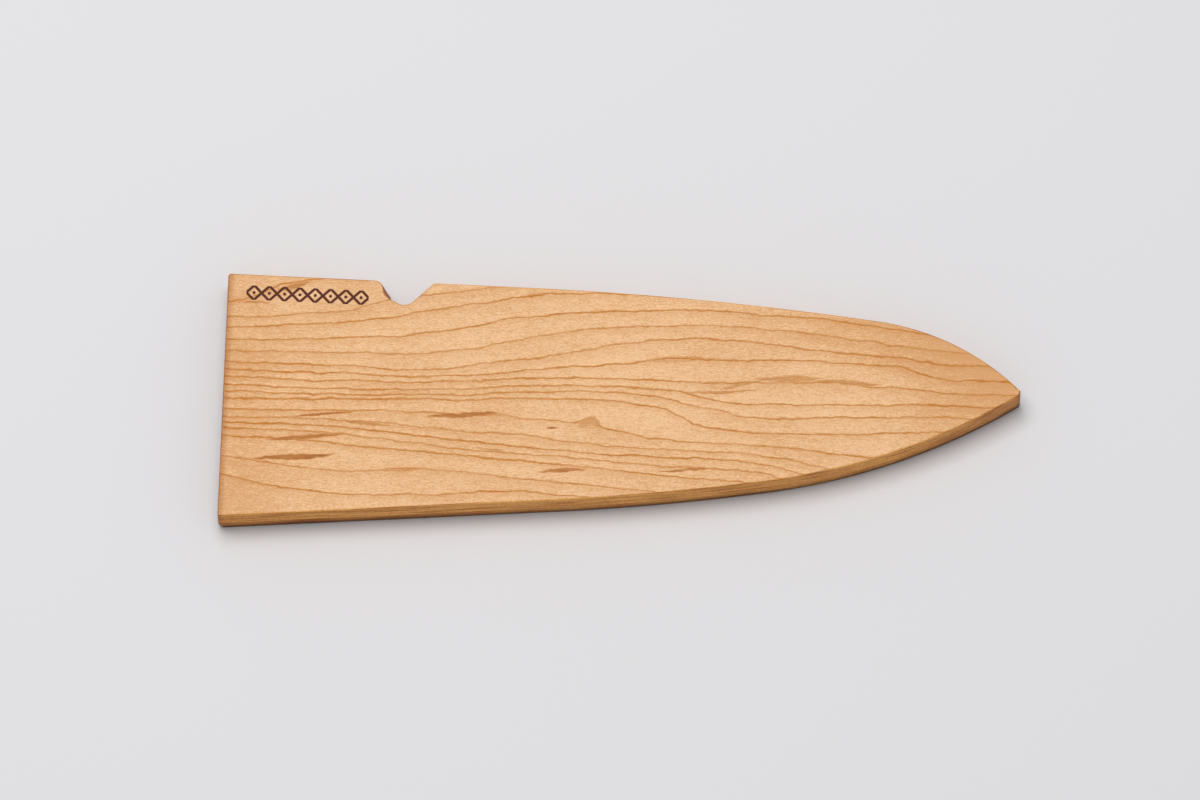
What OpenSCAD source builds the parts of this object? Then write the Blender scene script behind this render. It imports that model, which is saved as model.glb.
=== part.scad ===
// Wooden guard for a chef's knife: a thick front board with the blade space
// milled into its inner face, a thin back board glued over it, and disc magnets
// that hold the blade by its flat. X runs from the mouth to the tip, Y from the
// cutting edge to the spine, Z from the back face to the front face.

/* [Boards] */
// Length from the mouth to the point where spine and edge side would meet
guard_l = 229.2; // [206:0.1:246]
// Height of the mouth end
mouth_h = 73.8; // [66:0.1:82]
// Thickness of the front board
front_t = 7.0; // [6.4:0.1:10]
// Thickness of the back board
back_t = 4.0; // [3.4:0.1:7]
// Radius of the sanded arrises along all outer edges
arris_r = 0.6; // [0.5:0.1:1.6]
// Radius of the mouth's two corners and of the tip, seen from the front
corner_r = 1.2; // [1:0.1:3]

/* [Spine side] */
// Angle at which the spine falls away from the mouth
spine_fall = 0.8; // [0:0.02:1.8]
// Length of the straight stretch behind the mouth
spine_straight = 86; // [64:1:95]
// Distance of the shoulder from the tip, where the spine starts to drop
shoulder_back = 42; // [37:0.5:47]
// How far the shoulder lies below the mouth's upper corner
shoulder_drop = 7.9; // [7:0.1:10.5]

/* [Edge side] */
// Angle at which the cutting edge side rises from the mouth
edge_rise = 4.9; // [3.7:0.05:5.7]
// Length of the straight stretch behind the mouth
edge_straight = 97; // [70:1:104]
// Distance of the belly point from the tip, where the belly turns up
belly_back = 72; // [66:0.5:80]
// How far the belly point lies above the mouth's lower corner
belly_lift = 16.2; // [15.2:0.1:20]

/* [Tip] */
// Height of the tip above the middle of the mouth
tip_lift = 8.5; // [4:0.1:12]

/* [Thumb notch] */
// Distance from the mouth to the notch's steep wall, at the spine
notch_x = 44.1; // [30:0.1:52]
// Depth below the spine at which the notch's floor and ramp would meet
notch_depth = 7.9; // [6.4:0.1:8.4]
// Height of the steep wall, measured down from the spine
notch_wall_h = 4.8; // [3:0.1:5.6]
// How far the steep wall slants over that height
notch_slant = 1.1; // [0.4:0.1:2.5]
// Length of the sloping floor
notch_floor = 6.2; // [4:0.1:9]
// Angle of the long ramp
notch_ramp = 45; // [32:1:60]
// Radius inside the notch
notch_inner_r = 3.5; // [2:0.1:4.5]
// Radius where the notch meets the spine
notch_outer_r = 2.6; // [1.6:0.1:3.5]
// Angle at which the whole notch leans towards the tip as it goes down
notch_lean = 11.5; // [0:0.5:15]

/* [Blade space] */
// Gap between the boards that takes the blade
slot_gap = 4.4; // [3:0.1:5]
// Width of the solid rim round the blade space
rim_w = 10; // [8.5:0.1:13]
// Radius that the milling cutter leaves at the blade space's end
cutter_r = 3; // [1.5:0.1:5]

/* [Magnets] */
// Diameter of a disc magnet
magnet_d = 10; // [6:0.5:14]
// Thickness of a disc magnet
magnet_t = 2; // [1:0.1:2.2]
// Gap round a magnet in its bore
magnet_gap = 0.1; // [0.05:0.05:0.3]
// How far a magnet's face lies below the inner face of the back board
magnet_recess = 0.2; // [0.1:0.05:0.5]
// Distance from the mouth to the first magnet
magnet_x = 32; // [20:1:45]
// Distance from one magnet to the next
magnet_pitch = 54; // [40:1:60]
// Height of the magnets above the middle of the mouth
magnet_y = 6; // [-4:0.5:8]

/* [Hidden] */

guard_t = front_t + back_t;
// Degrees that a long arc of the outline turns from one of its points to the next
arc_turn = 1.6;
// The same for the small radii at the corners and in the notch
corner_turn = 9;
// Bands that round an arris
arris_bands = 4;
// Runs past a face so that a cut leaves no skin
over = 1;
// How far the blade space's outline starts before the mouth
lead = 2 * rim_w;

function unit(a) = [cos(a), sin(a)];
function heading(from, to) = atan2(to.y - from.y, to.x - from.x);

// Points along an arc, each with the heading there; the wood lies to the right of it
function arc_points(centre, r, a0, a1, step) =
    let(n = ceil(abs(a1 - a0) / step), side = sign(a0 - a1))
    [for (i = [0:n]) let(a = a0 + (a1 - a0) * i / n) [centre + side * r * unit(a + 90), a]];

// The rounding of a corner at p, where the heading goes from a0 to a1 and each leg gives it room
function corner(p, r, a0, a1, room) =
    let(half = abs(a1 - a0) / 2, fit = min(r, room / tan(half)), side = sign(a0 - a1),
        centre = p - fit * tan(half) * unit(a0) - side * fit * unit(a0 + 90))
    arc_points(centre, fit, a0, a1, corner_turn);

// Centre, radius and turn of the arc that leaves p at the heading h and ends at q
function arc_of(p, h, q) =
    let(turn = 2 * (heading(p, q) - h), r = norm(q - p) / (2 * sin(abs(turn) / 2)))
    [p + sign(turn) * r * unit(h + 90), r, turn];

// The two arcs of a side that starts with a straight and ends at the tip, with their headings
function side_arcs(start, h, straight, station, end) =
    let(first = arc_of(start + straight * unit(h), h, station), middle = h + first[2],
        last = arc_of(station, middle, end))
    [[first[0], first[1], h, middle], [last[0], last[1], middle, middle + last[2]]];

// Points of such a side from the mouth to the heading at which it ends
function side_points(arcs, end) =
    let(last = arc_points(arcs[1][0], arcs[1][1], arcs[1][2], end, arc_turn))
    concat(arc_points(arcs[0][0], arcs[0][1], arcs[0][2], arcs[0][3], arc_turn),
           [for (i = [1:len(last) - 1]) last[i]]);

// The crossing of two circles that lies to the right of the way from one centre to the other
function crossing(c1, r1, c2, r2) =
    let(d = norm(c2 - c1), u = (c2 - c1) / d, along = (d * d + r1 * r1 - r2 * r2) / (2 * d))
    c1 + along * u + sqrt(r1 * r1 - along * along) * [u.y, -u.x];

spine_start = [0, mouth_h / 2];
edge_start = [0, -mouth_h / 2];
shoulder = [guard_l - shoulder_back, mouth_h / 2 - shoulder_drop];
belly = [guard_l - belly_back, belly_lift - mouth_h / 2];
tip = [guard_l, tip_lift];
spine_arcs = side_arcs(spine_start, -spine_fall, spine_straight, shoulder, tip);
edge_arcs = side_arcs(edge_start, edge_rise, edge_straight, belly, tip);

// The tip's rounding touches the last arc of either side
tip_centre = crossing(spine_arcs[1][0], spine_arcs[1][1] - corner_r,
                      edge_arcs[1][0], edge_arcs[1][1] - corner_r);
spine_end = heading(spine_arcs[1][0], tip_centre) - 90;
edge_end = heading(edge_arcs[1][0], tip_centre) + 90;
overall_l = tip_centre.x + corner_r;

// Corners of the thumb notch, from the mouth side to the tip side
function spine_y(x) = spine_start.y - x * tan(spine_fall);
notch_top = [notch_x, spine_y(notch_x)];
notch_foot = notch_top + [notch_slant, -notch_wall_h];
ramp_foot = [notch_foot.x + notch_floor, notch_top.y - notch_depth];
ramp_top = ramp_foot + (spine_y(ramp_foot.x) - ramp_foot.y) / (tan(notch_ramp) + tan(spine_fall))
    * [1, tan(notch_ramp)];
wall_heading = heading(notch_top, notch_foot);
floor_heading = heading(notch_foot, ramp_foot);
wall_room = norm(notch_foot - notch_top) / 2;
floor_room = norm(ramp_foot - notch_foot) / 2;
ramp_room = norm(ramp_top - ramp_foot) / 2;
notch_points = concat(
    corner(notch_top, notch_outer_r, -spine_fall, wall_heading, wall_room),
    corner(notch_foot, notch_inner_r, wall_heading, floor_heading, min(wall_room, floor_room)),
    corner(ramp_foot, notch_inner_r, floor_heading, notch_ramp, min(floor_room, ramp_room)),
    corner(ramp_top, notch_outer_r, notch_ramp, -spine_fall, ramp_room));

// The whole outline, clockwise from the mouth's upper corner: point, heading, share of the lean
function round_the_edge() =
    let(spine = side_points(spine_arcs, spine_end), edge = side_points(edge_arcs, edge_end),
        tip_points = arc_points(tip_centre, corner_r, spine_end, edge_end - 180, corner_turn))
    concat([for (q = corner(spine_start, corner_r, 90, -spine_fall, mouth_h / 2)) [q[0], q[1], 0]],
           [for (q = notch_points) [q[0], q[1], 1]],
           [for (q = spine) [q[0], q[1], 0]],
           [for (i = [1:len(tip_points) - 2]) [tip_points[i][0], tip_points[i][1], 0]],
           [for (i = [len(edge) - 1:-1:0]) [edge[i][0], edge[i][1] - 180, 0]],
           [for (q = corner(edge_start, corner_r, edge_rise - 180, -270, mouth_h / 2))
               [q[0], q[1], 0]]);

// Both boards as one block, its arrises rounded by rings that draw in towards the faces
module block() {
    loop = round_the_edge();
    n = len(loop);
    rings = [for (top = [0, 1]) for (i = [0:arris_bands])
        let(a = 90 * (top ? arris_bands - i : i) / arris_bands, z = arris_r * (1 - cos(a)))
        [arris_r * (1 - sin(a)), top ? guard_t - z : z]];
    last = len(rings) - 1;
    lean = tan(notch_lean) * unit(-spine_fall);
    polyhedron(
        points = [for (ring = rings) for (q = loop)
            let(p = q[0] - ring[0] * unit(q[1] + 90) + q[2] * (guard_t - ring[1]) * lean)
            [p.x, p.y, ring[1]]],
        faces = concat(
            [[for (i = [n - 1:-1:0]) i]],
            [for (k = [0:last - 1]) for (i = [0:n - 1]) let(j = (i + 1) % n)
                [k * n + i, k * n + j, (k + 1) * n + j, (k + 1) * n + i]],
            [[for (i = [0:n - 1]) last * n + i]]));
}

// The part of the block between two heights
module slice(z0, z1) {
    intersection() {
        block();
        translate([-over, -mouth_h, z0])
            cube([guard_l + 2 * over, 2 * mouth_h, z1 - z0]);
    }
}

// Outline with a sharp tip, and with the mouth end still running on to the left
module long_outline() {
    spine = side_points(spine_arcs, spine_arcs[1][3]);
    edge = side_points(edge_arcs, edge_arcs[1][3]);
    polygon(concat([spine_start + lead * [-1, tan(spine_fall)]], [for (q = spine) q[0]],
                   [for (i = [len(edge) - 2:-1:0]) edge[i][0]],
                   [edge_start - lead * [1, tan(edge_rise)]]));
}

// Space for the blade, open at the mouth and closed by a rim all round
module blade_space() {
    translate([0, 0, back_t - over]) linear_extrude(slot_gap + over)
        offset(r = cutter_r, $fn = 32) offset(delta = -rim_w - cutter_r) long_outline();
}

function magnet_at(i) = [magnet_x + i * magnet_pitch, magnet_y];
magnet_floor = back_t - magnet_recess - magnet_t;

module magnet_bore(i) {
    translate([magnet_at(i).x, magnet_at(i).y, magnet_floor])
        cylinder(r = magnet_d / 2 + magnet_gap, h = back_t, $fn = 64);
}

// The guard is centred over the origin, with its back face on Z = 0
module placed() {
    translate([-overall_l / 2, 0, 0]) children();
}

module front_board() {
    color("#dcae7f") placed() difference() {
        slice(back_t, guard_t + over);
        blade_space();
    }
}

module back_board() {
    color("#cf9f6f") placed() difference() {
        slice(-over, back_t);
        for (i = [0:2]) magnet_bore(i);
    }
}

module magnet(i) {
    color("#b9bcc0") placed()
        translate([magnet_at(i).x, magnet_at(i).y, magnet_floor])
            cylinder(r = magnet_d / 2, h = magnet_t, $fn = 64);
}

front_board();
back_board();
magnet(0);  // magnet_heel
magnet(1);  // magnet_middle
magnet(2);  // magnet_tip
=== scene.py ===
from math import atan2, cos, pi, radians, sin, tan

import bmesh
import bpy
from mathutils import Matrix, Vector
from mathutils.geometry import intersect_sphere_sphere_2d


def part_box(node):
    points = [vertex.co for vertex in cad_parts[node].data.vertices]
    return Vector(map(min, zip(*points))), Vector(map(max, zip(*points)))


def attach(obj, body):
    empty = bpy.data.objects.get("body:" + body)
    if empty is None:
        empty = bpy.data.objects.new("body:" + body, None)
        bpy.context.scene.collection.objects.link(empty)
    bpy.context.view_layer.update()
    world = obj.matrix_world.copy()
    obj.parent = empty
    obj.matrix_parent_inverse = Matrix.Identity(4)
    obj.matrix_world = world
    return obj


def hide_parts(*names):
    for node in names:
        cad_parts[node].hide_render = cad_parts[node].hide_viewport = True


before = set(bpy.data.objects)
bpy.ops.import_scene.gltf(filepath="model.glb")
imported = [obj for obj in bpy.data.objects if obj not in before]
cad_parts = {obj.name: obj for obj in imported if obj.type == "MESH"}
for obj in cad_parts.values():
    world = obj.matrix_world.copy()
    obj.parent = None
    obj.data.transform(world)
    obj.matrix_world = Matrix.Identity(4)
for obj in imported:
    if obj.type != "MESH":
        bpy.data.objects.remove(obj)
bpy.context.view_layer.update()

# The camera looks down on the guard from the side of the cutting edge, from far
# off and through a very long lens. The guard lies a little turned on its sheet.
MM = 0.001
LENS = 480.0
DISTANCE = 4597.7 * MM
TILT = radians(19.0)
TURN = radians(2.054)
AIM = Vector((-6.30, 5.90, 0)) * MM

camera = bpy.data.objects.new("camera", bpy.data.cameras.new("camera"))
bpy.context.scene.collection.objects.link(camera)
camera.data.lens = LENS
camera.data.sensor_width = 36.0
camera.data.clip_end = 10.0
away = Matrix.Rotation(TURN, 3, "Z") @ Matrix.Rotation(TILT, 3, "X")
camera.location = AIM + away @ Vector((0, 0, DISTANCE))
camera.rotation_euler = away.to_euler()
bpy.context.scene.camera = camera
bpy.context.scene.view_settings.view_transform = "Standard"


# The sheet that the guard lies on: matt off-white paper, kept plain, so that only
# the guard's soft shadow shows on it. One soft lamp hangs over it, a little
# behind the spine, in an evenly lit room.
def colour(hex_code):
    """Turns an sRGB hex colour into the linear one that a node takes."""
    parts = [int(hex_code[i:i + 2], 16) / 255 for i in (1, 3, 5)]
    return [p / 12.92 if p <= 0.04045 else ((p + 0.055) / 1.055) ** 2.4 for p in parts] + [1.0]


def add(tree, kind, inputs=None, **settings):
    """Adds one node, sets it up, and feeds its inputs with values or other nodes' sockets."""
    node = tree.nodes.new(kind)
    for name, value in settings.items():
        setattr(node, name, value)
    for key, value in (inputs or {}).items():
        if isinstance(value, bpy.types.NodeSocket):
            tree.links.new(value, node.inputs[key])
        else:
            node.inputs[key].default_value = value
    return node


def new_material(name):
    """An empty node material and its tree."""
    material = bpy.data.materials.new(name)
    material.use_nodes = True
    material.node_tree.nodes.clear()
    return material, material.node_tree


SHEET = 4000 * MM
SHEET_COLOUR = "#E3E2E4"

paper, tree = new_material("matt_off_white_paper")
matt = add(tree, "ShaderNodeBsdfDiffuse", {"Color": colour(SHEET_COLOUR)})
add(tree, "ShaderNodeOutputMaterial", {"Surface": matt.outputs[0]})

bm = bmesh.new()
bmesh.ops.create_grid(bm, x_segments=1, y_segments=1, size=SHEET / 2)
sheet_mesh = bpy.data.meshes.new("sheet")
bm.to_mesh(sheet_mesh)
bm.free()
sheet = bpy.data.objects.new("sheet", sheet_mesh)
bpy.context.scene.collection.objects.link(sheet)
sheet.data.materials.append(paper)

LAMP_PLACE = (-0.30, 0.375, 1.755)
LAMP_SIZE = 1.125
LAMP_WATTS = 21.3
ROOM_LIGHT = 0.426

lamp_data = bpy.data.lights.new("soft_lamp", "AREA")
lamp_data.size = LAMP_SIZE
lamp_data.energy = LAMP_WATTS
lamp = bpy.data.objects.new("soft_lamp", lamp_data)
bpy.context.scene.collection.objects.link(lamp)
lamp.location = LAMP_PLACE
lamp.rotation_euler = Vector(LAMP_PLACE).to_track_quat("Z", "Y").to_euler()
world = bpy.data.worlds.new("room")
bpy.context.scene.world = world
world.use_nodes = True
room_air = world.node_tree.nodes["Background"]
room_air.inputs["Color"].default_value = (1, 1, 1, 1)
room_air.inputs["Strength"].default_value = ROOM_LIGHT

# Front board: the thick one, with the blade space milled into its inner face.
# Hard, fine-grained fruitwood, sawn to shape, its arrises rounded by sanding,
# and glued by its rim to the back board.
GUARD_LENGTH = 229.2
MOUTH_HEIGHT = 73.7
SPINE_FALL = radians(-0.8)
SPINE_STRAIGHT = 86.0
SHOULDER = Vector((GUARD_LENGTH - 42.0, MOUTH_HEIGHT / 2 - 7.9))
EDGE_RISE = radians(4.9)
EDGE_STRAIGHT = 97.0
BELLY = Vector((GUARD_LENGTH - 72.0, 16.2 - MOUTH_HEIGHT / 2))
TIP = Vector((GUARD_LENGTH, 8.5))
CORNER_RADIUS = 0.8
TIP_RADIUS = 1.65
ARRIS = 0.6
NOTCH_X = 44.1
NOTCH_DEPTH = 7.9
NOTCH_WALL = 4.8
NOTCH_SLANT = 1.1
NOTCH_FLOOR = 6.2
NOTCH_RAMP = radians(45)
NOTCH_INNER_RADIUS = 3.5
NOTCH_OUTER_RADIUS = 2.6
RAMP_END_RADIUS = 1.4
NOTCH_LEAN = radians(11.5)
RIM = 10.0
CUTTER_RADIUS = 3.0
SLOT_GAP = 4.4
SPACE_LEAD = 12.0
ARC_STEPS = 36
CORNER_STEPS = 8
ARRIS_STEPS = 5
SHARP_EDGE = radians(60)
CREASE = radians(32)
FLAT = radians(1)
TOUCH = 0.02
LEVEL = 0.001

low, high = (corner / MM for corner in map(Vector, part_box("front_board")))
mouth_x = low.x
GLUE_Z = low.z
TOP_Z = high.z


def arc_of(start, heading, end):
    """Centre, radius and angle of the arc that leaves start at heading and reaches end."""
    chord = end - start
    turn = 2 * (atan2(chord.y, chord.x) - heading)
    radius = chord.length / (2 * sin(turn / 2))
    centre = start + radius * Vector((-sin(heading), cos(heading)))
    return centre, radius, turn


def side_of(start, heading, straight, station):
    """The points and headings that a side is laid out on, from the mouth to the tip."""
    behind = start + straight * Vector((cos(heading), sin(heading)))
    first = arc_of(behind, heading, station)
    second = arc_of(station, heading + first[2], TIP)
    return [(start, heading), (behind, heading), (station, heading + first[2]),
            (TIP, heading + first[2] + second[2])], (first, second)


spine_points, spine_arcs = side_of(Vector((0, MOUTH_HEIGHT / 2)), SPINE_FALL, SPINE_STRAIGHT, SHOULDER)
edge_points, edge_arcs = side_of(Vector((0, -MOUTH_HEIGHT / 2)), EDGE_RISE, EDGE_STRAIGHT, BELLY)
tip_turn = pi - (edge_points[3][1] - spine_points[3][1])


def inward(points, side, distance):
    """The same points moved into the board by distance; side is -1 for the spine, 1 for the edge."""
    return [(p + side * distance * Vector((-sin(h), cos(h))), h) for p, h in points]


def place(point, z=0.0):
    """A point of the outline, counted from the mouth in millimetres, as a place in the frame."""
    return Vector((mouth_x + point.x, point.y, z)) * MM


def line_to(bm, vert, point):
    """Carries the outline on to point in a straight line."""
    end = bm.verts.new(place(point))
    bm.edges.new((vert, end))
    return end


def curve_to(bm, vert, start, heading, end):
    """Carries the outline on to end along an arc."""
    centre, radius, turn = arc_of(start, heading, end)
    made = bmesh.ops.spin(bm, geom=[vert], cent=place(centre), axis=(0, 0, 1), angle=turn, steps=ARC_STEPS)
    return made["geom_last"][0]


def draw_side(bm, points, stops=()):
    """Draws one side of the outline from the mouth to the tip, by way of the stops on its straight."""
    vert = bm.verts.new(place(points[0][0]))
    first = vert
    for stop in stops:
        vert = line_to(bm, vert, stop)
    vert = line_to(bm, vert, points[1][0])
    for (start, heading), (end, _) in zip(points[1:], points[2:]):
        vert = curve_to(bm, vert, start, heading, end)
    return first


def prism(points_above, points_below, stops, z0, z1):
    """The closed block that stands on the outline between two heights."""
    bm = bmesh.new()
    upper = draw_side(bm, points_above, stops)
    lower = draw_side(bm, points_below)
    bm.edges.new((upper, lower))
    bmesh.ops.remove_doubles(bm, verts=bm.verts, dist=TOUCH / 2 * MM)
    face = bmesh.ops.contextual_create(bm, geom=bm.edges)["faces"]
    bmesh.ops.translate(bm, verts=bm.verts, vec=(0, 0, z0 * MM))
    wall = bmesh.ops.extrude_face_region(bm, geom=face, use_keep_orig=True)
    top = [part for part in wall["geom"] if isinstance(part, bmesh.types.BMVert)]
    bmesh.ops.translate(bm, verts=top, vec=(0, 0, (z1 - z0) * MM))
    bmesh.ops.recalc_face_normals(bm, faces=bm.faces)
    return bm


def round_corner(bm, point, radius, turn):
    """Rounds the upright edge that stands on a point of the outline."""
    spot = place(point)
    upright = [e for e in bm.edges
               if all((v.co.xy - spot.xy).length < TOUCH * MM for v in e.verts)]
    bmesh.ops.bevel(bm, geom=upright, offset=radius * tan(abs(turn) / 2) * MM, offset_type="OFFSET",
                    segments=CORNER_STEPS, profile=0.5, affect="EDGES", material=-1, clamp_overlap=False)


def edges_at(bm, z):
    """The edges that lie level at height z."""
    return [e for e in bm.edges if all(abs(v.co.z - z * MM) < LEVEL * MM for v in e.verts)]


def round_arris(bm, z):
    """Rounds every edge round the flat face at height z."""
    rim = [e for e in edges_at(bm, z) if e.calc_face_angle(0) > SHARP_EDGE]
    bmesh.ops.bevel(bm, geom=rim, offset=ARRIS * MM, offset_type="OFFSET", segments=ARRIS_STEPS,
                    profile=0.5, affect="EDGES", material=-1, clamp_overlap=False)


def spine_at(x):
    """Height of the straight spine, x millimetres from the mouth."""
    return MOUTH_HEIGHT / 2 + x * tan(SPINE_FALL)


notch_top = Vector((NOTCH_X, spine_at(NOTCH_X)))
notch_foot = notch_top + Vector((NOTCH_SLANT, -NOTCH_WALL))
ramp_foot = Vector((notch_foot.x + NOTCH_FLOOR, notch_top.y - NOTCH_DEPTH))
climb = (spine_at(ramp_foot.x) - ramp_foot.y) / (tan(NOTCH_RAMP) - tan(SPINE_FALL))
ramp_top = ramp_foot + climb * Vector((1, tan(NOTCH_RAMP)))
notch = [(notch_top, NOTCH_OUTER_RADIUS), (notch_foot, NOTCH_INNER_RADIUS),
         (ramp_foot, NOTCH_INNER_RADIUS), (ramp_top, RAMP_END_RADIUS)]


def round_notch(bm):
    """Rounds the notch's corners, and leans the notch towards the tip below the front face."""
    corners = [point for point, _ in notch]
    way = [spine_points[0][0], *corners, spine_points[1][0]]
    headings = [atan2(b.y - a.y, b.x - a.x) for a, b in zip(way, way[1:])]
    for (point, radius), before, after in zip(notch, headings, headings[1:]):
        round_corner(bm, point, radius, after - before)
    lean = tan(NOTCH_LEAN) * Vector((cos(SPINE_FALL), sin(SPINE_FALL), 0))
    start = place(notch_top).x - 2 * NOTCH_OUTER_RADIUS * MM
    end = place(ramp_top).x + 2 * NOTCH_OUTER_RADIUS * MM
    for vert in bm.verts:
        if vert.co.y > 0 and start < vert.co.x < end:
            vert.co += (TOP_Z * MM - vert.co.z) * lean


def board(z0, z1, flat_z):
    """A board's block between two heights, with its corners, notch and the arris at flat_z rounded."""
    bm = prism(spine_points, edge_points, [point for point, _ in notch], z0, z1)
    round_notch(bm)
    round_corner(bm, spine_points[0][0], CORNER_RADIUS, pi / 2)
    round_corner(bm, edge_points[0][0], CORNER_RADIUS, pi / 2)
    round_corner(bm, TIP, TIP_RADIUS, tip_turn)
    round_arris(bm, flat_z)
    return bm


def take_out(piece, cutter_bm):
    """Cuts the cutter's shape out of the piece."""
    cutter_mesh = bpy.data.meshes.new("cutter")
    cutter_bm.to_mesh(cutter_mesh)
    cutter_bm.free()
    cutter = bpy.data.objects.new("cutter", cutter_mesh)
    bpy.context.scene.collection.objects.link(cutter)
    cut = piece.modifiers.new("cut", "BOOLEAN")
    cut.object = cutter
    cut.operation = "DIFFERENCE"
    cut.solver = "EXACT"
    depsgraph = bpy.context.evaluated_depsgraph_get()
    piece.data = bpy.data.meshes.new_from_object(piece.evaluated_get(depsgraph))
    piece.modifiers.clear()
    bpy.data.objects.remove(cutter)


def finished(bm, name, node, flat_z, cutters=()):
    """Makes the mesh an object, takes the cutters out of it and lets it stand for its node."""
    mesh = bpy.data.meshes.new(name)
    bm.to_mesh(mesh)
    bm.free()
    piece = bpy.data.objects.new(name, mesh)
    bpy.context.scene.collection.objects.link(piece)
    for cutter in cutters:
        take_out(piece, cutter)
    bm = bmesh.new()
    bm.from_mesh(piece.data)
    inside_flat = [e for e in edges_at(bm, flat_z) if e.calc_face_angle(0) < FLAT]
    bmesh.ops.dissolve_edges(bm, edges=inside_flat, use_verts=False)
    for face in bm.faces:
        face.smooth = True
    for edge in bm.edges:
        edge.smooth = edge.calc_face_angle(0) < CREASE
    bm.to_mesh(piece.data)
    bm.free()
    even = piece.modifiers.new("even_normals", "WEIGHTED_NORMAL")
    even.keep_sharp = True
    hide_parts(node)
    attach(piece, "root")
    return piece


spine_inner = inward(spine_points, -1, RIM)
edge_inner = inward(edge_points, 1, RIM)
crossing = max(intersect_sphere_sphere_2d(spine_arcs[1][0], abs(spine_arcs[1][1]) - RIM,
                                          edge_arcs[1][0], abs(edge_arcs[1][1]) - RIM), key=lambda p: p.x)
spine_inner[3] = (crossing, spine_inner[3][1])
edge_inner[3] = (crossing, edge_inner[3][1])
spine_inner[0] = (spine_inner[0][0] - SPACE_LEAD * Vector((1, tan(SPINE_FALL))), SPINE_FALL)
edge_inner[0] = (edge_inner[0][0] - SPACE_LEAD * Vector((1, tan(EDGE_RISE))), EDGE_RISE)
blade_space = prism(spine_inner, edge_inner, (), GLUE_Z - 1, GLUE_Z + SLOT_GAP)
round_corner(blade_space, crossing, CUTTER_RADIUS, tip_turn)

front = finished(board(GLUE_Z, TOP_Z, TOP_Z), "front_board_wood", "front_board",
                 TOP_Z, [blade_space])

# Growth rings of the front board, counted from the spine. RING_HEIGHTS gives the
# height at which some of them meet the mouth. RING_DROP says how much lower than
# at the mouth the rings seen at a height lie, at each station along the board.
# RING_SLOPE is how far they sink with each millimetre of depth.
RING_HEIGHTS = ((-38.0, 17.8), (-23.7, 17.0), (-18.1, 16.0), (-12.2, 15.0), (-10.0, 14.0), (-6.4, 12.0),
                (-3.9, 11.0), (-1.1, 10.0), (0.9, 9.0), (3.3, 8.0), (6.1, 7.0), (10.3, 5.0),
                (16.6, 3.0), (20.5, 2.0), (23.3, 1.0), (28.3, 0.0), (38.0, -0.7))
RING_STATIONS = (0, 30, 60, 90, 120, 150, 180, 207)
RING_DROP = {34: (0.0, -8.3, -9.8, -13.3, -14.4, -14.2, -13.7, -10.7),
             27: (0.0, -2.9, -7.0, -10.5, -12.4, -12.6, -11.0, -8.8),
             21: (0.0, -2.1, -4.5, -7.8, -10.5, -11.0, -9.1, -7.2),
             15: (0.0, -1.0, -1.7, -4.3, -6.6, -7.1, -7.6, -5.6),
             9: (0.0, 0.8, 0.8, -2.0, -2.3, -2.8, -3.0, -2.0),
             4: (0.0, 0.9, 0.1, -3.1, -3.2, 0.5, -0.2, -0.7),
             0: (0.0, -1.0, -1.8, -3.2, -1.7, 1.3, 1.2, 0.6),
             -4: (0.0, -0.3, -0.3, 0.2, 1.4, 4.1, 3.5, 3.0),
             -9: (0.0, 0.1, 2.0, 2.9, 4.9, 6.0, 6.5, 6.0),
             -14: (0.0, 1.4, 3.3, 5.2, 6.2, 6.4, 9.1, 9.0),
             -20: (0.0, 3.2, 2.2, 5.4, 7.5, 8.7, 12.2, 12.0),
             -28: (0.0, 4.9, 4.4, 2.0, 6.0, 11.7, 16.4, 16.0)}
RING_SLOPE = 0.21

# The curves that hold them take 0 to 1: drops lie within DROP_SPAN, heights within
# HEIGHT_REACH of the middle line, and ring numbers in RING_SPAN from FIRST_RING
DROP_SPAN = 40.0
HEIGHT_REACH = 38
RING_SPAN = 22.0
FIRST_RING = -2.0


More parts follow.
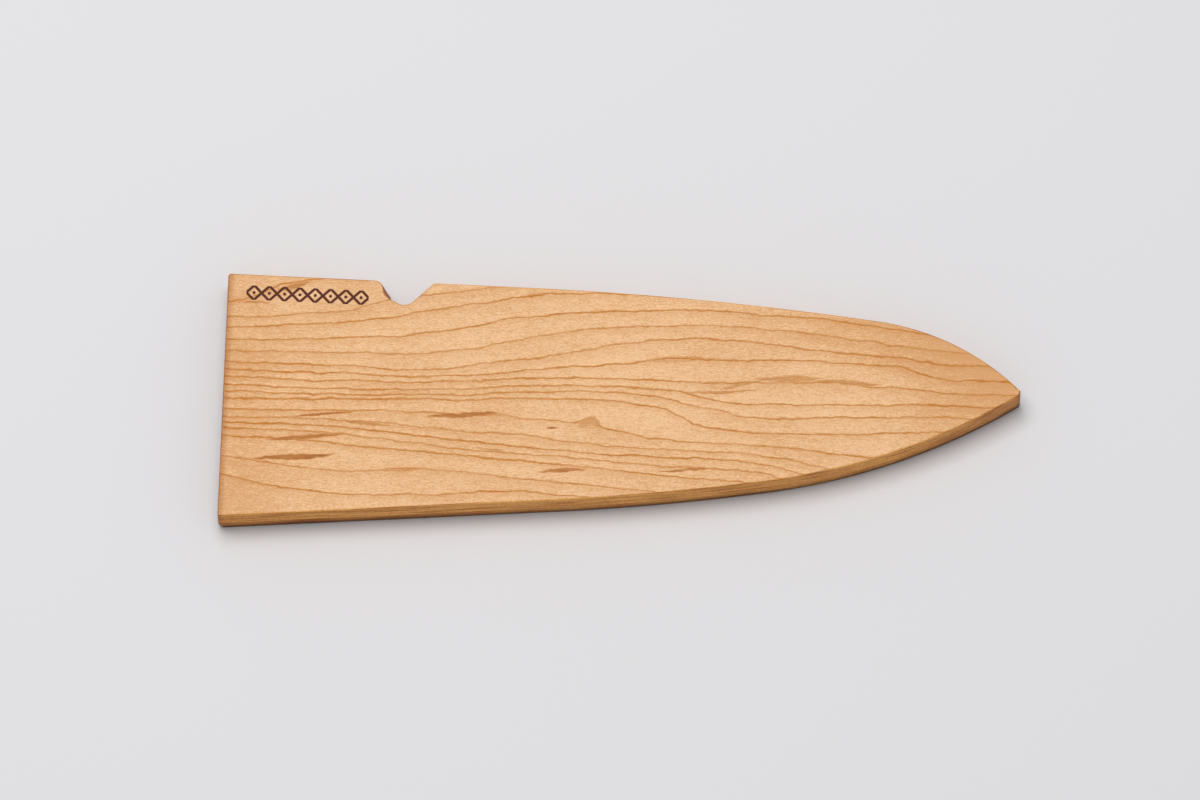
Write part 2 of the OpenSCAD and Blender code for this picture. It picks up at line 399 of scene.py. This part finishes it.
def ring_number(tree, spot):
    """The growth ring at a spot, as a number that grows from the spine to the cutting edge."""
    axes = add(tree, "ShaderNodeSeparateXYZ", {"Vector": spot})
    along = add(tree, "ShaderNodeMapRange", {"Value": axes.outputs["X"], 1: 0.0, 2: RING_STATIONS[-1]})
    curves = []
    for height, drops in RING_DROP.items():
        curve = add(tree, "ShaderNodeFloatCurve", {"Value": along.outputs[0]})
        curves.append((curve, [(x / RING_STATIONS[-1], y / DROP_SPAN + 0.5)
                               for x, y in zip(RING_STATIONS, drops)]))
        if len(curves) == 1:
            drop = curve.outputs[0]
        else:
            lower = add(tree, "ShaderNodeMapRange", {"Value": axes.outputs["Y"], 1: above, 2: height})
            mixed = add(tree, "ShaderNodeMix", {0: lower.outputs[0], 2: drop, 3: curve.outputs[0]})
            drop = mixed.outputs[0]
        above = height
    dropped = add(tree, "ShaderNodeMath", {0: drop, 1: DROP_SPAN, 2: axes.outputs["Y"]},
                  operation="MULTIPLY_ADD")
    sloped = add(tree, "ShaderNodeMath", {0: axes.outputs["Z"], 1: RING_SLOPE, 2: dropped.outputs[0]},
                 operation="MULTIPLY_ADD")
    shift = DROP_SPAN / 2 + RING_SLOPE * TOP_Z
    mouth_height = add(tree, "ShaderNodeMapRange", {"Value": sloped.outputs[0],
                                                    1: shift - HEIGHT_REACH, 2: shift + HEIGHT_REACH})
    count = add(tree, "ShaderNodeFloatCurve", {"Value": mouth_height.outputs[0]})
    curves.append((count, [((height + HEIGHT_REACH) / (2 * HEIGHT_REACH), (number - FIRST_RING) / RING_SPAN)
                           for height, number in RING_HEIGHTS]))
    for node, points in curves:
        curve = node.mapping.curves[0]
        curve.points[0].location, curve.points[-1].location = points[0], points[-1]
        for x, y in points[1:-1]:
            curve.points.new(x, y)
        node.mapping.update()
    number = add(tree, "ShaderNodeMath", {0: count.outputs[0], 1: RING_SPAN, 2: FIRST_RING},
                 operation="MULTIPLY_ADD")
    return number.outputs[0]


# Size of each pattern's grains in millimetres along, across and through the
# board, and how finely it is broken up
PATTERNS = {"bends": ((26, 7, 60), 2.0), "ripples": ((8, 6, 20), 2.0), "fray": ((1.8, 1.2, 6), 2.0),
            "fading": ((14, 3, 30), 2.0), "streaks": ((5, 0.5, 2), 3.0), "clouds": ((24, 9, 20), 2.0),
            "specks": ((0.8, 0.28, 0.9), 2.0), "fibres": ((2.2, 0.35, 0.35), 3.0),
            "saw_marks": ((22, 4, 0.5), 3.0)}

# All in millimetres: how far a ring sways with each of the first three patterns,
# half the width of its dark line's core and of the whole line, how far late and
# early wood reach beside it, how far in from the mouth, the spine, the end grain
# and the glue the marks of oil and glue go, and how high above the sheet the
# painted contact shade on the sides reaches
SWAY = (1.4, 1.7, 0.75)
LINE_CORE = 0.05
LINE_EDGE = 0.45
LATE_WOOD = 3.0
EARLY_WOOD = 2.0
HANDLED_MOUTH = 26.0
HANDLED_SPINE = 5.0
END_SOAKED = 2.6
GLUE_LINE = 0.15
LOW_SHADE_HEIGHT = 3.5


def fruitwood(name, from_mouth, figure, pale, tan_brown, ring_brown, flecks, swirls):
    """Oiled fruitwood: thin orange-brown growth rings in pale tan wood, browner on end grain."""
    material, tree = new_material(name)
    where = add(tree, "ShaderNodeTexCoord")
    spot = add(tree, "ShaderNodeMapping", {"Vector": where.outputs["Object"], "Location": from_mouth,
                                           "Scale": [side / MM for side in figure]}).outputs[0]
    axes = add(tree, "ShaderNodeSeparateXYZ", {"Vector": spot})
    noise = {}
    for pattern, (size, detail) in PATTERNS.items():
        sized = add(tree, "ShaderNodeMapping", {"Vector": spot, "Scale": [1 / side for side in size]})
        grains = add(tree, "ShaderNodeTexNoise", {"Vector": sized.outputs[0], "Scale": 1.0,
                                                  "Detail": detail})
        noise[pattern] = grains.outputs["Fac"]

    # Every ring wanders: in long bends, in ripples and in a fine fray
    waves = add(tree, "ShaderNodeCombineXYZ", {0: noise["bends"], 1: noise["ripples"], 2: noise["fray"]})
    swayed = add(tree, "ShaderNodeVectorMath", {0: waves.outputs[0], 1: SWAY}, operation="DOT_PRODUCT")
    push = add(tree, "ShaderNodeMath", {0: swayed.outputs["Value"], 1: -sum(SWAY) / 2}, operation="ADD")
    for x, y, length, width, height in swirls:
        off = add(tree, "ShaderNodeVectorMath", {0: spot, 1: (1 / length, 1 / width, 0),
                                                 2: (-x / length, -y / width, 0)}, operation="MULTIPLY_ADD")
        far = add(tree, "ShaderNodeVectorMath", {0: off.outputs[0]}, operation="LENGTH")
        near = add(tree, "ShaderNodeMapRange", {"Value": far.outputs["Value"], 3: -height, 4: 0.0},
                   interpolation_type="SMOOTHSTEP")
        push = add(tree, "ShaderNodeMath", {0: push.outputs[0], 1: near.outputs[0]}, operation="ADD")
    aside = add(tree, "ShaderNodeCombineXYZ", {"Y": push.outputs[0]})
    bent = add(tree, "ShaderNodeVectorMath", {0: spot, 1: aside.outputs[0]}, operation="ADD")

    # A ring's width in millimetres keeps its dark line equally thin in wide and narrow years
    step = 0.25
    beside = add(tree, "ShaderNodeVectorMath", {0: bent.outputs[0], 1: (0, step, 0)}, operation="ADD")
    ring = ring_number(tree, bent.outputs[0])
    grown = add(tree, "ShaderNodeMath", {0: ring, 1: ring_number(tree, beside.outputs[0])},
                operation="SUBTRACT")
    share = add(tree, "ShaderNodeMath", {0: grown.outputs[0], 1: 0.02}, operation="MAXIMUM")
    line_at = add(tree, "ShaderNodeMath", {0: ring, 1: 0.5}, operation="PINGPONG")
    from_line = add(tree, "ShaderNodeMath", {0: line_at.outputs[0], 1: share.outputs[0]}, operation="DIVIDE")
    core = add(tree, "ShaderNodeMapRange", {"Value": from_line.outputs[0], 1: LINE_CORE / step,
                                            2: LINE_EDGE / step, 3: 1.0, 4: 0.0},
               interpolation_type="SMOOTHSTEP")

    # The year's late wood darkens towards its line from below, and early wood starts pale above it
    within = add(tree, "ShaderNodeMath", {0: ring}, operation="FRACT")
    below_line = add(tree, "ShaderNodeMath", {0: within.outputs[0], 1: share.outputs[0]}, operation="DIVIDE")
    late = add(tree, "ShaderNodeMapRange", {"Value": below_line.outputs[0], 1: 0.0, 2: LATE_WOOD / step,
                                            3: 0.22, 4: 0.0})
    left = add(tree, "ShaderNodeMath", {0: 1.0, 1: within.outputs[0]}, operation="SUBTRACT")
    above_line = add(tree, "ShaderNodeMath", {0: left.outputs[0], 1: share.outputs[0]}, operation="DIVIDE")
    early = add(tree, "ShaderNodeMapRange", {"Value": above_line.outputs[0], 1: 0.4 / step,
                                             2: EARLY_WOOD / step, 3: -0.12, 4: 0.0})
    shaded = add(tree, "ShaderNodeMath", {0: late.outputs[0], 1: early.outputs[0]}, operation="ADD")

    # No two years are equally dark, and each line fades and comes back along the board
    year = add(tree, "ShaderNodeMath", {0: ring}, operation="ROUND")
    vigour = add(tree, "ShaderNodeTexWhiteNoise", {"W": year.outputs[0]}, noise_dimensions="1D")
    dark_year = add(tree, "ShaderNodeMapRange", {"Value": vigour.outputs["Value"], 3: 0.62, 4: 0.9})
    patchy = add(tree, "ShaderNodeMapRange", {"Value": noise["fading"], 1: 0.3, 2: 0.65, 3: 0.65, 4: 1.1})
    fading = add(tree, "ShaderNodeMath", {0: dark_year.outputs[0], 1: patchy.outputs[0]},
                 operation="MULTIPLY")
    line = add(tree, "ShaderNodeMath", {0: core.outputs[0], 1: fading.outputs[0], 2: shaded.outputs[0]},
               operation="MULTIPLY_ADD")
    darkness = add(tree, "ShaderNodeMath", {0: line.outputs[0], 1: 0.0}, operation="MAXIMUM", use_clamp=True)

    # Flecks: smears of late wood, cut almost flat, that taper to both ends. The deepest are browner
    streaks = add(tree, "ShaderNodeMapRange", {"Value": noise["streaks"], 1: 0.35, 2: 0.6, 3: 0.75, 4: 1.0})
    smears = 0.0
    for x, y, slope, length, width, depth in flecks:
        laid = add(tree, "ShaderNodeMapping", {"Vector": bent.outputs[0], "Location": (x, y, 0),
                                               "Rotation": (0, 0, radians(slope)),
                                               "Scale": (length, width, 1)},
                   vector_type="TEXTURE")
        folded = add(tree, "ShaderNodeVectorMath", {0: laid.outputs[0]}, operation="ABSOLUTE")
        sides = add(tree, "ShaderNodeSeparateXYZ", {"Vector": folded.outputs[0]})
        out = add(tree, "ShaderNodeMath", {0: sides.outputs["X"], 1: sides.outputs["X"],
                                           2: sides.outputs["Y"]}, operation="MULTIPLY_ADD")
        near = add(tree, "ShaderNodeMapRange", {"Value": out.outputs[0], 1: 0.55, 2: 1.1, 3: depth, 4: 0.0},
                   interpolation_type="SMOOTHSTEP")
        smears = add(tree, "ShaderNodeMath", {0: smears, 1: near.outputs[0]}, operation="MAXIMUM").outputs[0]
    smeared = add(tree, "ShaderNodeMath", {0: smears, 1: streaks.outputs[0]}, operation="MULTIPLY",
                  use_clamp=True)

    # Between the rings the wood is cloudy, finely speckled and streaked by its fibres
    texture = add(tree, "ShaderNodeCombineXYZ", {0: noise["clouds"], 1: noise["specks"], 2: noise["fibres"]})
    mix = (0.9, 2.4, 1.5)
    mottle = add(tree, "ShaderNodeVectorMath", {0: texture.outputs[0], 1: mix}, operation="DOT_PRODUCT")
    tone = add(tree, "ShaderNodeMath", {0: mottle.outputs["Value"], 1: 0.42 - sum(mix) / 2}, operation="ADD")

    # Oil and handling have darkened the wood towards the mouth and where the spine comes down to the tip
    near_mouth = add(tree, "ShaderNodeMapRange", {"Value": axes.outputs["X"], 1: 0.0, 2: HANDLED_MOUTH,
                                                  3: 0.28, 4: 0.0}, interpolation_type="SMOOTHERSTEP")
    to_tip = add(tree, "ShaderNodeVectorMath", {0: spot, 1: (0.57, 0.82, 0)}, operation="DOT_PRODUCT")
    near_tip = add(tree, "ShaderNodeMapRange", {"Value": to_tip.outputs["Value"], 1: 110.0, 2: 140.0,
                                                3: 0.0, 4: 0.75})
    handled = add(tree, "ShaderNodeMath", {0: near_mouth.outputs[0], 1: near_tip.outputs[0]},
                  operation="ADD")
    below_spine = add(tree, "ShaderNodeVectorMath", {0: spot, 1: (-tan(SPINE_FALL), 1, 0)},
                      operation="DOT_PRODUCT")
    near_spine = add(tree, "ShaderNodeMapRange", {"Value": below_spine.outputs["Value"],
                                                  1: MOUTH_HEIGHT / 2 - HANDLED_SPINE, 2: MOUTH_HEIGHT / 2,
                                                  3: 0.0, 4: 0.15})
    held = add(tree, "ShaderNodeMath", {0: handled.outputs[0], 1: near_spine.outputs[0]}, operation="ADD")
    toned = add(tree, "ShaderNodeMath", {0: tone.outputs[0], 1: held.outputs[0]}, operation="ADD",
                use_clamp=True)

    # The rings and flecks fade out on the sawn sides
    facing = add(tree, "ShaderNodeSeparateXYZ", {"Vector": where.outputs["Normal"]})
    upright = add(tree, "ShaderNodeMath", {0: facing.outputs["Z"]}, operation="ABSOLUTE")
    side = add(tree, "ShaderNodeMapRange", {"Value": upright.outputs[0], 1: 0.99, 2: 0.8},
               interpolation_type="SMOOTHSTEP")
    shown = add(tree, "ShaderNodeMapRange", {"Value": side.outputs[0], 3: 1.0, 4: 0.25})
    marks = add(tree, "ShaderNodeMath", {0: darkness.outputs[0], 1: smeared.outputs[0]}, operation="MAXIMUM")
    rings = add(tree, "ShaderNodeMath", {0: marks.outputs[0], 1: shown.outputs[0]}, operation="MULTIPLY")
    wood = add(tree, "ShaderNodeMix", {0: toned.outputs[0], 6: colour(pale), 7: colour(tan_brown)},
               data_type="RGBA")
    lined = add(tree, "ShaderNodeMix", {0: rings.outputs[0], 6: wood.outputs[2], 7: colour(ring_brown)},
                data_type="RGBA")
    deep = add(tree, "ShaderNodeMapRange", {"Value": smeared.outputs[0], 1: 0.5, 2: 1.0})
    ringed = add(tree, "ShaderNodeMix", {0: deep.outputs[0], 6: lined.outputs[2], 7: colour(FLECK_BROWN)},
                 data_type="RGBA")

    # Sawn sides take more oil than the planed face, in streaks, and end grain takes most
    across = add(tree, "ShaderNodeMath", {0: facing.outputs["X"]}, operation="ABSOLUTE")
    rim = add(tree, "ShaderNodeMapRange", {"Value": axes.outputs["X"], 1: 0.2, 2: END_SOAKED,
                                           3: 0.5, 4: 0.0}, interpolation_type="SMOOTHERSTEP")
    cut = add(tree, "ShaderNodeMapRange", {"Value": across.outputs[0], 1: 0.35, 2: 0.9},
              interpolation_type="SMOOTHSTEP")
    end = add(tree, "ShaderNodeMath", {0: cut.outputs[0], 1: rim.outputs[0]}, operation="MAXIMUM")
    sawn = add(tree, "ShaderNodeMapRange", {"Value": noise["saw_marks"], 1: 0.45, 2: 0.62})
    soaked = add(tree, "ShaderNodeMix", {0: sawn.outputs[0], 6: colour(SIDE_SOAK), 7: colour(SIDE_DARK)},
                 data_type="RGBA")
    long_side = add(tree, "ShaderNodeMath", {0: side.outputs[0], 1: cut.outputs[0]}, operation="SUBTRACT",
                    use_clamp=True)
    sided = add(tree, "ShaderNodeMix", {0: long_side.outputs[0], 6: ringed.outputs[2], 7: soaked.outputs[2]},
                data_type="RGBA", blend_type="MULTIPLY")
    ended = add(tree, "ShaderNodeMix", {0: end.outputs[0], 6: sided.outputs[2], 7: colour(END_SOAK)},
                data_type="RGBA", blend_type="MULTIPLY")
    from_glue = add(tree, "ShaderNodeMath", {0: axes.outputs["Z"], 1: GLUE_Z, 2: GLUE_LINE},
                    operation="COMPARE")
    glue = add(tree, "ShaderNodeMath", {0: from_glue.outputs[0], 1: side.outputs[0]}, operation="MULTIPLY")
    glued = add(tree, "ShaderNodeMix", {0: glue.outputs[0], 6: ended.outputs[2], 7: colour(GLUE_STAIN)},
                data_type="RGBA", blend_type="MULTIPLY")
    # Painted shade: the sides grow darker and greyer towards the sheet, standing for the contact shade where
    # the guard meets the sheet
    low = add(tree, "ShaderNodeMapRange", {"Value": axes.outputs["Z"], 1: LOW_SHADE_HEIGHT, 2: 1.4})
    low_shade_mask = add(tree, "ShaderNodeMath", {0: low.outputs[0], 1: side.outputs[0]}, operation="MULTIPLY")
    low_shaded = add(tree, "ShaderNodeMix", {0: low_shade_mask.outputs[0], 6: glued.outputs[2], 7: colour(LOW_SIDE_SHADE)},
               data_type="RGBA", blend_type="MULTIPLY")
    return material, tree, spot, low_shaded.outputs[2], noise["fibres"]


def oil(tree, tint, relief):
    """The rubbed oil finish: satin, with the fibres just felt."""
    bump = add(tree, "ShaderNodeBump", {"Height": relief, "Strength": 0.15, "Distance": 0.1 * MM})
    shader = add(tree, "ShaderNodeBsdfPrincipled", {"Base Color": tint, "Roughness": 0.65,
                                                    "Specular IOR Level": 0.3, "Normal": bump.outputs[0]})
    add(tree, "ShaderNodeOutputMaterial", {"Surface": shader.outputs[0]})


# What oil and handling leave behind: deep flecks, the sides' yellow and their
# dark streaks, the end grain's brown and the glue line's stain; and the grey of the
# painted contact shade on the lower sides
FLECK_BROWN = "#A8662C"
SIDE_SOAK = "#FFE9A8"
SIDE_DARK = "#C89C58"
END_SOAK = "#C09660"
GLUE_STAIN = "#C8B8A0"
LOW_SIDE_SHADE = "#949088"

# Each fleck of the front board: how far its middle lies from the mouth and from
# the middle line, its slope in degrees, half its length, half its width and its
# depth of colour. The swirl is a flame that one ring makes, with the same first
# four measures and the height that it pushes the ring up by.
FRONT_FLECKS = ((28.4, -4.8, 6.4, 10.9, 0.5, 0.9), (24.1, -12.1, 5.9, 13.0, 0.85, 0.85),
                (29.9, -11.6, 6.9, 6.1, 0.6, 0.6), (20.9, -18.0, 5.7, 13.5, 1.05, 0.98),
                (41.4, -7.2, -6.8, 8.8, 0.55, 0.7), (68.8, -3.6, 5.8, 12.5, 0.85, 0.9),
                (77.0, -3.1, -0.9, 6.4, 0.5, 0.6), (105.6, -6.1, 0, 4.6, 1.3, 0.55),
                (76.8, -13.7, -4.4, 5.4, 0.45, 0.7), (98.3, -19.8, 4.1, 8.1, 0.8, 0.85),
                (51.0, -21.0, 3.1, 7.8, 0.8, 0.55), (133.4, -18.0, 6.0, 9.0, 0.55, 0.8),
                (130.0, 15.0, 5.2, 13.3, 1.1, 0.5), (148.7, 8.2, 12.0, 7.4, 0.7, 0.6),
                (162.0, 10.4, 2.4, 11.1, 1.2, 0.6), (179.4, 9.8, -0.9, 10.4, 0.85, 0.6),
                (141.8, 5.9, 2.6, 13.9, 0.6, 0.65), (94.7, -7.0, 0.0, 1.9, 0.4, 1.1),
                (19.0, 33.4, 18, 6.0, 1.1, 0.7), (8.0, 28.3, -1, 5.5, 0.45, 0.7))
FRONT_SWIRLS = ((105.8, -3.2, 5.2, 5.5, 2.4),)

BORDER_START = 5.4
BORDER_DROP = 5.6
BORDER_PITCH = 4.4
BORDER_COUNT = 8
BORDER_HEIGHT = 4.4
BURN_WIDTH = 0.7
DOT_RADIUS = 0.6
BURN_BROWN = "#521A00"


def burnt_border(tree, spot, tint):
    """Burns a row of open lozenges, each with a dot in it, into the face below the spine."""
    level = Matrix.Rotation(-SPINE_FALL, 3, "Z")
    start = level @ Vector((BORDER_START, spine_at(BORDER_START) - BORDER_DROP, 0))
    along = add(tree, "ShaderNodeMapping", {"Vector": spot, "Rotation": level.to_euler(),
                                            "Location": -start})
    axes = add(tree, "ShaderNodeSeparateXYZ", {"Vector": along.outputs[0]})
    turn = add(tree, "ShaderNodeMath", {0: axes.outputs["X"], 1: BORDER_PITCH / 2}, operation="PINGPONG")
    across = add(tree, "ShaderNodeMath", {0: axes.outputs["Y"]}, operation="ABSOLUTE")
    slant = add(tree, "ShaderNodeMath", {0: across.outputs[0], 1: BORDER_PITCH / BORDER_HEIGHT},
                operation="MULTIPLY")
    off_line = add(tree, "ShaderNodeMath", {0: turn.outputs[0], 1: slant.outputs[0]}, operation="SUBTRACT")
    off = add(tree, "ShaderNodeMath", {0: off_line.outputs[0]}, operation="ABSOLUTE")
    lozenge = add(tree, "ShaderNodeMapRange", {"Value": off.outputs[0], 1: BURN_WIDTH * 0.6, 2: BURN_WIDTH,
                                               3: 1.0, 4: 0.0}, interpolation_type="SMOOTHSTEP")
    from_middle = add(tree, "ShaderNodeMath", {0: turn.outputs[0], 1: BORDER_PITCH / 2},
                      operation="SUBTRACT")
    offset = add(tree, "ShaderNodeCombineXYZ", {0: from_middle.outputs[0], 1: across.outputs[0]})
    reach = add(tree, "ShaderNodeVectorMath", {0: offset.outputs[0]}, operation="LENGTH")
    dot = add(tree, "ShaderNodeMapRange", {"Value": reach.outputs["Value"], 1: DOT_RADIUS * 0.6,
                                           2: DOT_RADIUS, 3: 1.0, 4: 0.0}, interpolation_type="SMOOTHSTEP")
    burn = add(tree, "ShaderNodeMath", {0: lozenge.outputs[0], 1: dot.outputs[0]}, operation="MAXIMUM")
    after = add(tree, "ShaderNodeMath", {0: axes.outputs["X"], 1: 0.0}, operation="GREATER_THAN")
    before = add(tree, "ShaderNodeMath", {0: axes.outputs["X"], 1: BORDER_PITCH * BORDER_COUNT},
                 operation="LESS_THAN")
    ends = add(tree, "ShaderNodeMath", {0: after.outputs[0], 1: before.outputs[0]}, operation="MULTIPLY")
    beside = add(tree, "ShaderNodeMath", {0: across.outputs[0], 1: BORDER_HEIGHT / 2}, operation="LESS_THAN")
    field = add(tree, "ShaderNodeMath", {0: ends.outputs[0], 1: beside.outputs[0]}, operation="MULTIPLY")
    scorched = add(tree, "ShaderNodeMath", {0: burn.outputs[0], 1: field.outputs[0]}, operation="MULTIPLY")
    burnt = add(tree, "ShaderNodeMix", {0: scorched.outputs[0], 6: tint, 7: colour(BURN_BROWN)},
                data_type="RGBA")
    return burnt.outputs[2]


front_wood, tree, spot, tint, relief = fruitwood(
    "oiled_fruitwood_front", (-mouth_x, 0, 0), (1, 1, 1), "#F5C899", "#DAA26B", "#C07410",
    FRONT_FLECKS, FRONT_SWIRLS)
oil(tree, burnt_border(tree, spot, tint), relief)
front.data.materials.clear()
front.data.materials.append(front_wood)

# Back board: the thinner one, planed flat, with three blind bores for the
# magnets in its inner face. It is glued under the front board's rim, and its
# lower corner at the mouth, on the cutting edge side, is rubbed off.
back_low, back_high = (corner / MM for corner in map(Vector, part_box("back_board")))
MAGNETS = ["magnet_heel", "magnet_middle", "magnet_tip"]
BORE_GAP = 0.1
DISC_STEPS = 64
RUBBED = Vector((1.9, 1.9, 3.9))


def disc(centre, radius, z0, z1):
    """An upright disc between two heights."""
    bm = bmesh.new()
    bmesh.ops.create_cone(bm, cap_ends=True, segments=DISC_STEPS, radius1=radius * MM,
                          radius2=radius * MM, depth=(z1 - z0) * MM)
    bmesh.ops.translate(bm, verts=bm.verts, vec=Vector((centre.x, centre.y, (z0 + z1) / 2)) * MM)
    return bm


def rub_off(bm, corner, reach):
    """Takes a corner off flat; reach is how far along each axis the cut runs from the corner."""
    slant = Vector([-1 / side for side in reach])
    cut = bmesh.ops.bisect_plane(bm, geom=[*bm.verts, *bm.edges, *bm.faces], plane_no=slant,
                                 plane_co=corner + Vector((reach.x, 0, 0)), clear_outer=True)
    rim = [part for part in cut["geom_cut"] if isinstance(part, bmesh.types.BMEdge)]
    bmesh.ops.contextual_create(bm, geom=rim)


magnet_boxes = [[corner / MM for corner in map(Vector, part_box(name))] for name in MAGNETS]
bores = [disc((lo + hi) / 2, (hi.x - lo.x) / 2 + BORE_GAP, lo.z, GLUE_Z + 1) for lo, hi in magnet_boxes]
back_bm = board(back_low.z, back_high.z, back_low.z)
rub_off(back_bm, place(edge_points[0][0], back_low.z), RUBBED * MM)
back = finished(back_bm, "back_board_wood", "back_board", back_low.z, bores)
BACK_FLECKS = ((60, 12.0, 2.0, 12.0, 0.7, 0.7), (150, -8.0, 4.0, 14.0, 0.8, 0.7))
back_wood, tree, spot, tint, relief = fruitwood(
    "oiled_fruitwood_back", (GUARD_LENGTH + mouth_x, 3, 0), (-1, -1, 1), "#EABA8C", "#CB925E", "#B06C32",
    BACK_FLECKS, ())
oil(tree, tint, relief)
back.data.materials.clear()
back.data.materials.append(back_wood)

# Magnets: three nickel-plated discs that lie in the back board's bores, just
# under its inner face, and hold the blade by its flat.
MAGNET_ARRIS = 0.2
PLATE_GRAIN = 900.0

# The plate is a faintly warm mirror, made soft by its fine grain
nickel, tree = new_material("bright_nickel_plate")
where = add(tree, "ShaderNodeTexCoord")
grain = add(tree, "ShaderNodeTexNoise", {"Vector": where.outputs["Object"], "Scale": PLATE_GRAIN})
rough = add(tree, "ShaderNodeMapRange", {"Value": grain.outputs["Fac"], 3: 0.16, 4: 0.3})
plate = add(tree, "ShaderNodeBsdfPrincipled", {"Base Color": colour("#C9C6BE"), "Metallic": 1.0,
                                               "Roughness": rough.outputs[0]})
add(tree, "ShaderNodeOutputMaterial", {"Surface": plate.outputs[0]})

for name, (lo, hi) in zip(MAGNETS, magnet_boxes):
    bm = disc((lo + hi) / 2, (hi.x - lo.x) / 2, lo.z, hi.z)
    rims = [e for e in bm.edges if e.calc_face_angle(0) > SHARP_EDGE]
    bmesh.ops.bevel(bm, geom=rims, offset=MAGNET_ARRIS * MM, offset_type="OFFSET", segments=3, profile=0.5,
                    affect="EDGES", material=-1)
    magnet = finished(bm, name + "_disc", name, hi.z)
    magnet.data.materials.append(nickel)
